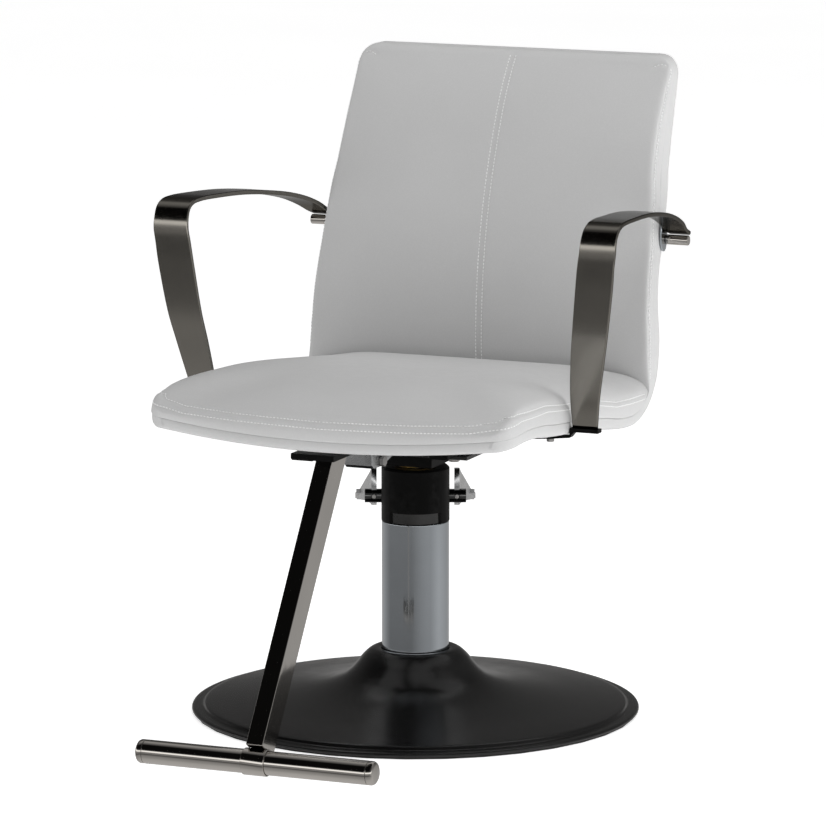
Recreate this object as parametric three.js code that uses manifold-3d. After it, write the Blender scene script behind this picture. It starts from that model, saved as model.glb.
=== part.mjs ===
// A hydraulic styling chair, in millimetres, +Z up.
// The origin is on the floor under the middle of the round base. The sitter faces -Y.
// The seat turns on the ram, the ram rises out of the pump, and the pump stays on the base.
import * as THREE from "three";
import { mergeVertices } from "three/addons/utils/BufferGeometryUtils.js";
import Module from "manifold-3d";

const wasm = await Module();
wasm.setup();

// ---------------------------------------------------------------- driving dimensions
const GAP = 0.3;                    // clearance between pieces that touch

const BASE_RADIUS = 300;            // round base on the floor
const HUB_TOP = 85.3;               // top of the base cover's neck
const HUB_BORE = 45.4;
const COVER_SHEET = 2.6;            // thickness of the spun base cover

const TUBE_RADIUS = 45;             // chrome cover tube of the pump
const HEAD_RADIUS = 45.5;           // black pump head on top of the tube
const HEAD_BOTTOM = 259;
const HEAD_TOP = 333;
const RAM_RADIUS = 19;
const CYLINDER_RADIUS = 24;
const PUMP_TURN = 22.5;             // the pump stands turned this many degrees on the base

const SHAFT_RADIUS = 9.3;           // cross shaft of the foot lever
const SHAFT_HALF = 68;
const SHAFT_Y = 31;                 // behind the ram
const SHAFT_Z = 285.5;
const PEDAL_REACH = 252;            // the pedal's far edge, from the pump axis
const PEDAL_Z = 243;
const PLUNGER_Y = 53;

const SEAT_HALF = 250;              // half width of the upholstered shell at the seat
const FRONT_HALF = 257;             // and at its front edge
const FRONT_BOW = 25;               // the front edge bows forward by this much
const SHELL_LENGTH = 960;           // along the bent shell, from its front to its top
const BOARD = 6;                    // plywood under each cushion
const BOARD_INSET = 72;             // from the side of the cushion to the side of its board
const UNDERCUT = 46;                // a seat layer's rear face leans back by this much
const CLEAR = 1.6;                  // between shell, board and cushion
const OVER_BOARD = 2 * CLEAR + BOARD + 0.6;

const STRUT_WIDTH = 23;             // footrest strut, a rectangular tube
const STRUT_DEPTH = 40;
const STRUT_WALL = 2.5;
const TBAR_Y = -524;                // middle of the footrest bar
const TBAR_Z = 41;
const TBAR_RADIUS = 15.5;
const TBAR_HALF = 154;              // to the joint with each end cap
const STRUT_LEAN = 34.6;            // degrees from the vertical
const BRACKET_BOTTOM = 391.5;       // the strut ends just under this

const BAND = 6;                     // thickness of the arm bands
const ARM_SCREW_X = 222;            // screw that holds each arm's foot under the shell
const ARM_SCREW_Y = -75.4;
const ROD_Y = 296;                  // the rod that carries the rear end of each arm
const ROD_Z = 611;
const ROD_RADIUS = 7;

// ---------------------------------------------------------------- materials
const finish = (color, roughness, metalness) => () =>
  new THREE.MeshStandardMaterial({ color, roughness, metalness });
const upholstery = finish(0xb9babb, 0.55, 0);
const plywood = finish(0xb08d5e, 0.8, 0);
const satinBlack = finish(0x101011, 0.35, 0.3);
const blackCasting = finish(0x0c0c0d, 0.5, 0.2);
const chrome = finish(0xb8bfc6, 0.08, 1);
const steel = finish(0x8c8e90, 0.35, 1);
const darkNickel = finish(0x4f4b47, 0.25, 1);
const castIron = finish(0x3c3c3d, 0.8, 0.6);
const castAluminium = finish(0xa9abac, 0.45, 0.9);
const rubber = finish(0x151515, 0.9, 0);
const brass = finish(0xb08a3c, 0.35, 1);

// ---------------------------------------------------------------- solids
// Keeps only positions, joins shared vertices and turns the faces outward.
function closed(geometry) {
  geometry.deleteAttribute("normal");
  geometry.deleteAttribute("uv");
  const merged = mergeVertices(geometry, 1e-4);
  const index = Array.from(merged.index.array);
  const position = merged.attributes.position;
  const a = new THREE.Vector3();
  const b = new THREE.Vector3();
  const c = new THREE.Vector3();
  const kept = [];
  let volume = 0;
  for (let i = 0; i < index.length; i += 3) {
    const [p, q, r] = index.slice(i, i + 3);
    if (p === q || q === r || r === p) continue;
    a.fromBufferAttribute(position, p);
    b.fromBufferAttribute(position, q);
    c.fromBufferAttribute(position, r);
    volume += a.dot(b.cross(c));
    kept.push(p, q, r);
  }
  if (volume < 0) kept.reverse();
  merged.setIndex(kept);
  return merged;
}

function toSolid(geometry) {
  const shape = closed(geometry);
  const vertProperties = Float32Array.from(shape.attributes.position.array);
  const triVerts = Uint32Array.from(shape.index.array);
  return new wasm.Manifold(new wasm.Mesh({ numProp: 3, vertProperties, triVerts }));
}

function fromSolid(solid) {
  const mesh = solid.getMesh();
  const geometry = new THREE.BufferGeometry();
  geometry.setAttribute("position", new THREE.BufferAttribute(mesh.vertProperties, 3));
  geometry.setIndex(new THREE.BufferAttribute(mesh.triVerts, 1));
  return geometry;
}

const cut = (body, ...tools) =>
  fromSolid(tools.reduce((left, tool) => left.subtract(toSolid(tool)), toSolid(body)));
const join = (...bodies) =>
  fromSolid(bodies.slice(1).reduce((sum, body) => sum.add(toSolid(body)), toSolid(bodies[0])));

// A turned piece about Z, from a profile of [radius, z] points that starts and ends on the axis.
function turned(profile, segments = 28) {
  const points = profile.map(([radius, z]) => new THREE.Vector2(radius, z));
  return new THREE.LatheGeometry(points, segments).rotateX(Math.PI / 2);
}

// A ring or tube about Z: its section is closed.
const ring = (inner, outer, low, high, segments = 28) =>
  turned([[inner, low], [outer, low], [outer, high], [inner, high], [inner, low]], segments);

const cylinder = (radius, low, high, segments = 24) =>
  new THREE.CylinderGeometry(radius, radius, high - low, segments)
    .rotateX(Math.PI / 2).translate(0, 0, (low + high) / 2);

const cylinderX = (radius, low, high, segments = 24) =>
  new THREE.CylinderGeometry(radius, radius, high - low, segments)
    .rotateZ(Math.PI / 2).translate((low + high) / 2, 0, 0);

const box = (x0, x1, y0, y1, z0, z1) =>
  new THREE.BoxGeometry(x1 - x0, y1 - y0, z1 - z0)
    .translate((x0 + x1) / 2, (y0 + y1) / 2, (z0 + z1) / 2);

// A plate whose outline lies in the YZ plane, from x = low to x = high.
function platedX(outline, low, high) {
  const shape = new THREE.Shape(outline.map(([y, z]) => new THREE.Vector2(y, z)));
  const geometry = new THREE.ExtrudeGeometry(shape, { depth: high - low, bevelEnabled: false });
  const axes = new THREE.Matrix4().set(0, 0, 1, low, 1, 0, 0, 0, 0, 1, 0, 0, 0, 0, 0, 1);
  return geometry.applyMatrix4(axes);
}

// A closed solid from rings of points, each ring with the same number of corners.
function lofted(rings) {
  const count = rings[0].length;
  const vertices = rings.flat();
  const index = [];
  for (let i = 0; i < rings.length - 1; i += 1) {
    for (let j = 0; j < count; j += 1) {
      const k = (j + 1) % count;
      const here = i * count;
      const next = here + count;
      index.push(here + j, here + k, next + k, here + j, next + k, next + j);
    }
  }
  const last = (rings.length - 1) * count;
  for (let j = 1; j < count - 1; j += 1) {
    index.push(0, j + 1, j, last, last + j, last + j + 1);
  }
  const geometry = new THREE.BufferGeometry();
  geometry.setAttribute("position", new THREE.Float32BufferAttribute(vertices.flat(), 3));
  geometry.setIndex(index);
  return geometry;
}

// Steps from 0 to 1 that are close together at both ends, where the corners are round.
function stations(count, cornerShare) {
  const close = [0, 0.07, 0.28, 0.62].map((part) => part * cornerShare);
  const steps = [...close];
  for (let i = 0; i <= count; i += 1) {
    steps.push(cornerShare + ((1 - 2 * cornerShare) * i) / count);
  }
  return [...steps, ...close.reverse().map((step) => 1 - step)];
}

const acrossSteps = [-1, -0.95, -0.82, -0.5, 0, 0.5, 0.82, 0.95, 1];

// A layer between two surfaces. Each surface gives a point for u, across from -1 to 1,
// and v, along from 0 to 1. The rings run round the layer, one for each station of v.
function layered(near, far, along) {
  const back = [...acrossSteps].reverse();
  const rings = along.map((v) => [
    ...acrossSteps.map((u) => near(u, v)), ...back.map((u) => far(u, v)),
  ]);
  const strip = acrossSteps.length;
  const geometry = lofted(rings);
  const index = Array.from(geometry.index.array);
  index.length = (rings.length - 1) * strip * 2 * 6;
  const last = (rings.length - 1) * strip * 2;
  for (let j = 0; j < strip - 1; j += 1) {
    const a = j;
    const b = j + 1;
    const c = 2 * strip - 2 - j;
    const d = 2 * strip - 1 - j;
    index.push(a, c, b, a, d, c);
    index.push(last + a, last + b, last + c, last + a, last + c, last + d);
  }
  geometry.setIndex(index);
  return geometry;
}

const chair = new THREE.Group();
const pump = new THREE.Group();
pump.rotation.z = THREE.MathUtils.degToRad(PUMP_TURN);
chair.add(pump);

function place(name, geometry, material, parent = chair) {
  const piece = new THREE.Mesh(closed(geometry), material());
  piece.name = name;
  parent.add(piece);
  return piece;
}

function hexBolt(headAcross, headLow, headHigh, shankRadius, shankLow) {
  const head = cylinder(headAcross / Math.sqrt(3), headLow, headHigh, 6);
  return join(head, cylinder(shankRadius, shankLow, headLow + 1, 16));
}

// ---------------------------------------------------------------- base
function makeBase() {
  const outer = [
    [BASE_RADIUS, 3.3], [BASE_RADIUS, 6], [298.5, 7.8], [287, 8.6], [284.5, 9.4], [282.5, 12.4],
    [280, 13.8], [250, 17.2], [200, 22.6], [150, 30], [120, 37], [100, 45], [88, 54], [79, 64], [72, 73],
    [65, 80], [56, HUB_TOP], [HUB_BORE, HUB_TOP],
  ];
  const inner = [
    [HUB_BORE, HUB_TOP - COVER_SHEET], [55, 82], [63, 77.6], [77, 62], [98.6, 42.8],
    [119, 34.4], [149.6, 27.4], [199.6, 20], [249.6, 14.6], [279, 11], [282, 6.4],
    [297.4, 5.4], [297.4, 3.3],
  ];
  place("base_cover", turned([...outer, ...inner, outer[0]], 36), satinBlack);
  place("floor_ring", ring(284, 297, 0, 3, 36), rubber);

  const boltCircle = 58;
  const ballast = turned([
    [0, 1], [276, 1], [276, 6.4], [200, 16.5], [110, 28], [0, 28],
  ], 32);
  const flange = ring(CYLINDER_RADIUS + GAP, 70, 28.3, 38, 32);
  const holes = [];
  for (let i = 0; i < 4; i += 1) {
    const angle = THREE.MathUtils.degToRad(45 + 90 * i);
    const x = boltCircle * Math.cos(angle);
    const y = boltCircle * Math.sin(angle);
    holes.push(cylinder(4.4, 12, 50, 16).translate(x, y, 0));
    const bolt = hexBolt(13, 38.3, 44.5, 4, 13).translate(x, y, 0);
    place(`pump_bolt_${i + 1}`, bolt, steel);
  }
  place("base_ballast", cut(ballast, ...holes.map((hole) => hole.clone())), castIron);
  place("pump_flange", cut(flange, ...holes), castIron);
}

// ---------------------------------------------------------------- pump, fixed to the base
function makePump() {
  place("pump_cover_tube", ring(43, TUBE_RADIUS, 38.4, HEAD_BOTTOM - GAP, 36), chrome, pump);
  const bore = RAM_RADIUS + 0.4;
  place("pump_cylinder", turned([
    [0, 28.6], [CYLINDER_RADIUS, 28.6], [CYLINDER_RADIUS, 262], [bore, 262], [bore, 36], [0, 36],
  ], 32), steel, pump);

  // The head: a round casting with a chamber at the back for the plunger.
  const skirt = 43.2;
  const body = turned([
    [skirt, HEAD_BOTTOM], [HEAD_RADIUS, HEAD_BOTTOM], [HEAD_RADIUS, HEAD_TOP - 3],
    [HEAD_RADIUS - 3, HEAD_TOP], [24, HEAD_TOP], [24, 318], [bore + 0.1, 318], [bore + 0.1, 276],
    [skirt, 276], [skirt, HEAD_BOTTOM],
  ], 36);
  const chamber = box(-14, 14, 40, 62, 282, 312);
  const barrel = box(-9, 9, 45.6, 62, 240, 290);
  const shaftBore = cylinderX(SHAFT_RADIUS + 0.4, -60, 60).translate(0, SHAFT_Y, SHAFT_Z);
  const noseSlot = box(-5.4, 5.4, SHAFT_Y, 58.5, 276, 330);
  const noseSweep = box(-5.4, 5.4, SHAFT_Y, 58.5, 268, 280);
  const plungerBore = cylinder(5, 244, 300, 20).translate(0, PLUNGER_Y, 0);
  const window = box(-34.5, 34.5, -50, -30, 255, 274);
  place("pump_head",
    cut(join(body, chamber, barrel), shaftBore, noseSlot, noseSweep, plungerBore, window),
    blackCasting, pump);

  place("tube_clamp_ring", ring(39, skirt - GAP, HEAD_BOTTOM + 0.2, 275.6), steel, pump);
  place("ram_seal", ring(RAM_RADIUS + 0.3, 23.7, 318.3, 323), rubber, pump);
  place("gland_ring", ring(RAM_RADIUS + 0.4, 23.7, 323.3, 332.4), brass, pump);

  // The plunger's return spring, at its pressed length.
  const turns = 4;
  const coil = new THREE.Curve();
  coil.getPoint = (t, target = new THREE.Vector3()) => {
    const angle = 2 * Math.PI * turns * t;
    return target.set(3.4 * Math.cos(angle), 3.4 * Math.sin(angle), 245.4 + 9 * t);
  };
  const wire = new THREE.Shape();
  wire.absarc(0, 0, 0.7, 0, 2 * Math.PI, false);
  const spring = new THREE.ExtrudeGeometry(wire,
    { extrudePath: coil, steps: 12 * turns, curveSegments: 3, bevelEnabled: false });
  place("plunger_spring", spring.translate(0, PLUNGER_Y, 0), steel, pump);

  place("pump_plunger", cylinder(4.6, 264, SHAFT_Z - 4.4, 20).translate(0, PLUNGER_Y, 0),
    steel, pump);
}

// ---------------------------------------------------------------- foot lever
function makeLever() {
  const near = 52;
  const thick = 7;
  const middle = near + thick / 2;
  const screwHole = (side) => new THREE.CylinderGeometry(3.2, 3.2, 60, 12)
    .translate(side * middle, 16, SHAFT_Z);

  const nose = box(-4.6, 4.6, SHAFT_Y, PLUNGER_Y + 1, SHAFT_Z - 4, SHAFT_Z + 4);
  const shaft = cylinderX(SHAFT_RADIUS, -SHAFT_HALF, SHAFT_HALF).translate(0, SHAFT_Y, SHAFT_Z);
  place("lever_shaft", cut(join(shaft, nose), screwHole(1), screwHole(-1)), steel, pump);

  // Each arm is a tall plate behind the shaft that spreads outward and falls to the pedal.
  const spread = 24;
  const rear = PEDAL_REACH;
  const outline = [
    [29, SHAFT_Z], [25, 300], [27, 314], [33, 321.5], [40, 322], [60, 313], [120, 291],
    [190, 265], [rear, PEDAL_Z + 5], [rear, PEDAL_Z - 3], [190, 250], [120, 262], [60, 270],
    [40, 271], [31, 276],
  ];
  const arm = (side) => {
    const plate = platedX(outline, near, near + thick);
    const position = plate.attributes.position;
    for (let i = 0; i < position.count; i += 1) {
      const along = Math.max(0, position.getY(i) - 40) / (rear - 40);
      position.setX(i, side * (position.getX(i) + spread * along));
    }
    return plate;
  };
  const half = near + spread + thick - 2;
  const pedalOutline = [
    [rear - 58, PEDAL_Z + 21], [rear, PEDAL_Z + 3], [rear + 8, PEDAL_Z - 3],
    [rear + 6, PEDAL_Z - 6], [rear, PEDAL_Z - 2], [rear - 58, PEDAL_Z + 15],
  ];
  const pedal = platedX(pedalOutline, -half, half);
  const shaftBore = cylinderX(SHAFT_RADIUS + GAP, -75, 75).translate(0, SHAFT_Y, SHAFT_Z);
  place("pedal_lever",
    cut(join(arm(1), arm(-1), pedal), shaftBore, screwHole(1), screwHole(-1)),
    castAluminium, pump);
  for (const [name, side] of [["lever_screw_left", 1], ["lever_screw_right", -1]]) {
    const screw = new THREE.CylinderGeometry(2.9, 2.9, 23, 12);
    place(name, screw.translate(side * middle, 33.5, SHAFT_Z), steel, pump);
  }
}

// ---------------------------------------------------------------- ram
function makeRam() {
  const shoulder = HEAD_TOP + 0.4;
  place("ram_rod", turned([
    [0, 60], [RAM_RADIUS, 60], [RAM_RADIUS, 66], [16.4, 66], [16.4, 71], [RAM_RADIUS, 71],
    [RAM_RADIUS, shoulder], [14, shoulder], [14, 348], [4.6, 348], [4.6, 335], [0, 335],
  ], 28), chrome);
  place("piston_seal", ring(16.7, RAM_RADIUS + 0.2, 66.3, 70.7, 32), rubber);
  place("thrust_washer", ring(14.4, 27, shoulder + GAP, 336.6, 32), brass);
  place("retaining_washer", ring(4.6, 21, 348.3, 350.8, 24), steel);
  place("retaining_bolt", hexBolt(13, 351.1, 355.6, 4.2, 336), steel);
}

// ---------------------------------------------------------------- frame under the seat
function makeFrame() {
  const hubHalf = 39;
  const hub = box(-hubHalf, hubHalf, -hubHalf, hubHalf, 337, 356);
  place("seat_hub", cut(hub, cylinder(14.4, 330, 360, 32), cylinder(23, 348, 360, 32)),
    castAluminium);

  const plateTop = 361.4;
  const railMiddle = 74;
  const railHalf = 13;
  const boltRows = [-45, 70];
  const bolts = [];
  for (const x of [-railMiddle, railMiddle]) {
    for (const y of boltRows) bolts.push([x, y]);
  }
  const plate = box(-100, 100, -64, 90, 356.3, plateTop);
  const holes = bolts.map(([x, y]) => cylinder(4.4, 350, 390, 16).translate(x, y, 0));
  const access = cylinder(18, 350, 370, 24);
  place("seat_plate", cut(plate, access, ...holes.map((hole) => hole.clone())), steel);

  const low = plateTop + GAP;
  const railOutline = [
    [-100, low], [130, low], [130, 366], [42, 374.5], [-40, 381.5], [-100, 382],
  ];
  for (const [name, side] of [["seat_rail_left", 1], ["seat_rail_right", -1]]) {
    const middle = side * railMiddle;
    const rail = platedX(railOutline, middle - railHalf, middle + railHalf);
    place(name, cut(rail, ...holes.map((hole) => hole.clone())), blackCasting);
  }
  bolts.forEach(([x, y], i) => {
    const bolt = hexBolt(13, 350.6, 356, 4, 352);
    const shank = cylinder(4, 352, 370, 16);
    place(`frame_bolt_${i + 1}`, join(bolt, shank).translate(x, y, 0), steel);
  });

  // The beam that carries the footrest, with a cross bolt near its front end.
  const beamHalf = 20;
  const beam = platedX([
    [-196, 366], [-190, 361], [-158, 360], [-112, 371], [-65, 372], [-22, low], [-22, 382],
    [-196, 382],
  ], -beamHalf, beamHalf);
  const boltY = -166;
  const boltZ = 368;
  const crossHole = cylinderX(4.4, -30, 30, 16).translate(0, boltY, boltZ);
  place("front_beam", cut(beam, crossHole), castAluminium);
  const head = cylinderX(7.5, beamHalf + GAP, beamHalf + 6, 6);
  const crossBolt = join(head, cylinderX(4, -beamHalf - 9, beamHalf + 1, 16));
  place("beam_bolt", crossBolt.translate(0, boltY, boltZ), steel);
  const nut = cut(cylinderX(7.5, -beamHalf - 6.5, -beamHalf - GAP, 6),
    cylinderX(4.3, -beamHalf - 9, -beamHalf + 9, 16));
  place("beam_nut", nut.translate(0, boltY, boltZ), steel);

  // The bracket the strut hangs from lies on the beam and is wider on one side at its front.
  const tongue = platedX([
    [-318, BRACKET_BOTTOM], [-252, BRACKET_BOTTOM], [-204, 383.3], [-197, 382.3],
    [-120, 382.3], [-120, 388.3], [-205, 391], [-262, 398.5], [-318, 399.3],
  ], -18, 18);
  const lug = platedX([
    [-318, 393], [-314, 389.8], [-306, 388.2], [-294, 388.2], [-287, 390.5], [-284, 395],
    [-284, 398.8], [-318, 399.3],
  ], -42, -17);
  place("footrest_bracket", join(tongue, lug), blackCasting);
}

// ---------------------------------------------------------------- upholstery
// Straight-line interpolation in a short list of [t, value].
function at(list, t) {
  if (t <= list[0][0]) return list[0][1];
  for (let i = 1; i < list.length; i += 1) {
    const [t0, a] = list[i - 1];
    const [t1, b] = list[i];
    if (t <= t1) return a + ((b - a) * (t - t0)) / (t1 - t0);
  }
  return list[list.length - 1][1];
}

// Side edges of the shell, as [y, z], from the front of the seat to the top of the back.
const shellOutside = [
  [-300, 418], [-272, 421], [-235, 421.5], [-183, 418], [-131, 410.5], [-60, 403], [42, 391],
  [130, 378], [185, 378.5], [230, 396.5], [258, 427], [269, 470], [271, 520], [279, 562],
  [300, 605], [329, 663], [352, 715], [370, 762], [384, 805], [395, 853],
];
const shellInside = [
  [-300, 433], [-272, 436], [-235, 436.5], [-183, 433], [-131, 426], [-60, 418.5], [42, 406],
  [110, 394.5], [165, 391], [204, 403], [226, 432], [239, 470], [243, 520], [252, 562],
  [266, 605], [290, 663], [311, 715],
  [332, 762], [352, 805], [373, 853],
];
// How much lower the middle of the shell lies than its side edges, out along the normal.
const outsideDish = [[0, 15.5], [0.1, 14], [0.3, 14], [0.5, 6], [0.62, 12], [0.72, 3], [0.8, 0]];
const insideDish = [[0, 15.5], [0.1, 9], [0.3, 8], [0.5, 3], [0.62, 8], [0.72, 2], [0.8, 0]];
const halfWidths = [[430, SEAT_HALF], [480, 249], [520, 246], [576, 243], [620, 241], [670, 237],
  [700, 233], [740, 231], [780, 230]];
const cornerRadius = 27;

const widthAtHeight = (z) => at(halfWidths, z);
const seatHalfAt = (y) => at([[-300, FRONT_HALF], [-60, SEAT_HALF]], y);
const bowAt = (y) => FRONT_BOW * THREE.MathUtils.clamp((-60 - y) / 240, 0, 1) ** 1.5;

// Takes a half width in at a rounded corner, where "inside" is the distance from the end.
function rounded(half, inside) {
  if (inside >= cornerRadius) return half;
  const short = cornerRadius - inside;
  return half - cornerRadius + Math.sqrt(cornerRadius ** 2 - short ** 2);
}

function shellSurface(points, dishes) {
  const curve = new THREE.SplineCurve(points.map(([y, z]) => new THREE.Vector2(y, z)));
  const length = curve.getLength();
  return (u, v) => {
    const point = curve.getPointAt(v);
    const tangent = curve.getTangentAt(v);
    const end = Math.min(v, 1 - v) * length;
    const full = point.x < 0 ? seatHalfAt(point.x) : widthAtHeight(point.y);
    const x = u * rounded(full, end);
    const middle = 1 - (x / full) ** 2;
    const dish = at(dishes, v) * middle;
    const y = point.x + tangent.y * dish - bowAt(point.x) * middle;
    return [x, y, point.y - tangent.x * dish];
  };
}

// The inside surface again, as a height over each y of the seat and a y at each height of
// the back.
const insideLine = new THREE.SplineCurve(shellInside.map(([y, z]) => new THREE.Vector2(y, z)));
const insidePoints = Array.from({ length: 81 }, (_, i) => {
  const point = insideLine.getPointAt(i / 80);
  return { y: point.x, z: point.y, dish: at(insideDish, i / 80) };
});
const seatPoints = insidePoints.filter((point) => point.y < 210 && point.z < 450);
const backPoints = insidePoints.filter((point) => point.z > 430);
const insideHeight = (y, u) => {
  const edge = at(seatPoints.map((point) => [point.y, point.z]), y);
  return edge - at(seatPoints.map((point) => [point.y, point.dish]), y) * (1 - u * u);
};
const insideDepth = (z, u) => {
  const edge = at(backPoints.map((point) => [point.z, point.y]), z);
  return edge + at(backPoints.map((point) => [point.z, point.dish]), z) * (1 - u * u);
};

function makeShell() {
  const outside = shellSurface(shellOutside, outsideDish);
  const inside = shellSurface(shellInside, insideDish);
  const body = layered(outside, inside, stations(22, cornerRadius / SHELL_LENGTH));
  const screwHole = (side) => cylinder(2.9, 390, 414, 12).translate(side * ARM_SCREW_X, ARM_SCREW_Y, 0);
  place("seat_back_shell", cut(body, screwHole(1), screwHole(-1)), upholstery);
}

// A flat-lying layer over the seat part of the shell, "lift" being its height over the shell.
function seatLayer(front, back, inset, lowLift, highSurface) {
  const place3 = (height, rear) => (u, v) => {
    const y = front + (rear - front) * v;
    const end = Math.min(y - front, 4 * (rear - y));
    const x = u * rounded(seatHalfAt(y) - inset, end);
    const across = x / seatHalfAt(y);
    return [x, y - bowAt(y) * (1 - across * across), height(y, across)];
  };
  const low = place3((y, u) => insideHeight(y, u) + lowLift(y, u), back - UNDERCUT);
  const high = place3(highSurface, back);
  return layered(low, high, stations(9, cornerRadius / (back - front)));
}

const seatEdge = [[-300, 456], [-272, 459], [-235, 459.5], [-190, 457], [-100, 447], [12, 435],
  [98, 420], [152, 416], [214, 417]];
const seatMiddle = [[-300, 443], [-290, 455], [-266, 465], [-225, 472], [-111, 474], [0, 463],
  [86, 453], [168, 444], [214, 437]];

function makeSeat() {
  const boardLift = () => CLEAR;
  place("seat_board", seatLayer(-215, 130, BOARD_INSET, boardLift,
    (y, u) => insideHeight(y, u) + CLEAR + BOARD), plywood);
  const top = (y, u) => {
    const edge = at(seatEdge, y);
    return edge + (at(seatMiddle, y) - edge) * (1 - Math.abs(u) ** 12);
  };
  // The cushion comes down round the board, close to the shell along its edges.
  const cushionLift = (y, u) => {
    const inY = at([[-266, CLEAR], [-240, OVER_BOARD], [150, OVER_BOARD], [180, CLEAR]], y);
    return Math.min(inY, at([[0.82, OVER_BOARD], [1, CLEAR]], Math.abs(u)));
  };
  place("seat_cushion", seatLayer(-300, 214, -2, cushionLift, top), upholstery);
}

// A layer standing against the back part of the shell.
function backLayer(bottom, topEnd, inset, rearClear, frontSurface) {
  const place3 = (depth) => (u, v) => {
    const z = bottom + (topEnd - bottom) * v;
    const end = Math.min(topEnd - z, 5 * (z - bottom) + 18);
    const x = u * rounded(widthAtHeight(z) - inset, end);
    return [x, depth(z, x / widthAtHeight(z)), z];
  };
  const rear = place3((z, u) => insideDepth(z, u) - rearClear(z, u));
  return layered(place3(frontSurface), rear, stations(9, cornerRadius / (topEnd - bottom)));
}

const backEdge = [[441, 217], [480, 219], [520, 222], [560, 231], [605, 246], [663, 262],
  [715, 281], [762, 303], [805, 329], [853, 360]];
const backMiddle = [[441, 226], [500, 226], [560, 229], [620, 239], [680, 257], [740, 284],
  [800, 316], [853, 353]];

function makeBack() {
  place("back_board", backLayer(565, 800, BOARD_INSET, () => CLEAR + BOARD,
    (z, u) => insideDepth(z, u) - CLEAR), plywood);
  const behind = (z, u) => {
    const inZ = at([[448, 4], [500, CLEAR], [520, CLEAR], [548, OVER_BOARD],
      [815, OVER_BOARD], [845, CLEAR]], z);
    return Math.min(inZ, at([[0.82, OVER_BOARD], [1, 2 * CLEAR]], Math.abs(u)));
  };
  const front = (z, u) => {
    const edge = at(backEdge, z);
    return edge + (at(backMiddle, z) - edge) * (1 - u ** 4);
  };
  place("back_cushion", backLayer(448, 853, 0, behind, front), upholstery);
}

// ---------------------------------------------------------------- arms
// The outer face of an arm band: [y, z] of the path, x of its middle, and its width.
const bandPath = [
  [-77.5, 411, 270.3, 34.3], [-91, 456, 275, 41], [-101, 498, 281.3, 46],
  [-110, 540, 288.2, 49], [-117, 600, 296, 51], [-119.8, 632, 299.5, 50.5],
  [-120.4, 650, 302, 50], [-118, 665, 302.5, 49], [-110.5, 678, 303, 48.5],
  [-97.5, 685.3, 303, 48], [-80, 688, 302, 48], [-40, 687.5, 299, 47], [51, 682, 290, 44],
  [145, 670, 280, 40], [210, 657, 273, 37], [255, 643, 268, 36], [284, 630, 264, 33],
  [303, 623.5, 263, 31],
];

function makeArms() {
  for (const [sideName, side] of [["left", 1], ["right", -1]]) {
    const bandRings = bandPath.map(([y, z, middle, width], i) => {
      const [y0, z0] = bandPath[Math.max(0, i - 1)];
      const [y1, z1] = bandPath[Math.min(bandPath.length - 1, i + 1)];
      const run = Math.hypot(y1 - y0, z1 - z0);
      const inY = ((z1 - z0) / run) * BAND;
      const inZ = (-(y1 - y0) / run) * BAND;
      const half = width / 2;
      return [
        [side * (middle + half), y, z], [side * (middle - half), y, z],
        [side * (middle - half), y + inY, z + inZ], [side * (middle + half), y + inY, z + inZ],
      ];
    });
    place(`arm_band_${sideName}`, lofted(bandRings), darkNickel);

    // The foot is a cup around the lower end of the band, with a tongue under the shell.
    const mirror = new THREE.Matrix4().makeScale(side, 1, 1);
    const cup = box(251.3, 290.6, -82.4, -68.4, 408.2, 413.2);
    const pocket = platedX([[-79.4, 410.2], [-70.7, 410.2], [-71.5, 425], [-85, 425]],
      252.6, 289.3);
    const tongue = platedX([
      [196, 394.8], [225, 397.4], [251, 400.2], [258, 409], [258, 410], [251.3, 410],
      [250.9, 403.2], [225, 400.4], [196, 397.8],
    ], 68.4, 82.4).rotateZ(-Math.PI / 2);
    const screwAt = (geometry) => geometry.translate(ARM_SCREW_X, ARM_SCREW_Y, 0);
    const foot = cut(join(cup, tongue), pocket, screwAt(cylinder(2.9, 390, 405, 12)));
    place(`arm_foot_${sideName}`, foot.applyMatrix4(mirror), blackCasting);
    const screw = screwAt(hexBolt(9, 392.6, 396.6, 2.6, 410));
    place(`arm_screw_${sideName}`, screw.applyMatrix4(mirror), steel);

    const near = widthAtHeight(ROD_Z) + 1.6;
    const plateShape = new THREE.Shape();
    plateShape.absellipse(288, 618, 12, 23, 0, 2 * Math.PI, false);
    const outline = plateShape.getPoints(6).slice(0, -1).map((point) => [point.x, point.y]);
    const plate = platedX(outline, near, near + 3);
    const rod = cylinderX(ROD_RADIUS, near + 3 + GAP, 278, 20).translate(0, ROD_Y, ROD_Z);
    place(`arm_plate_${sideName}`, plate.applyMatrix4(mirror), chrome);
    place(`arm_rod_${sideName}`, rod.applyMatrix4(mirror), chrome);
  }
}

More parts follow.
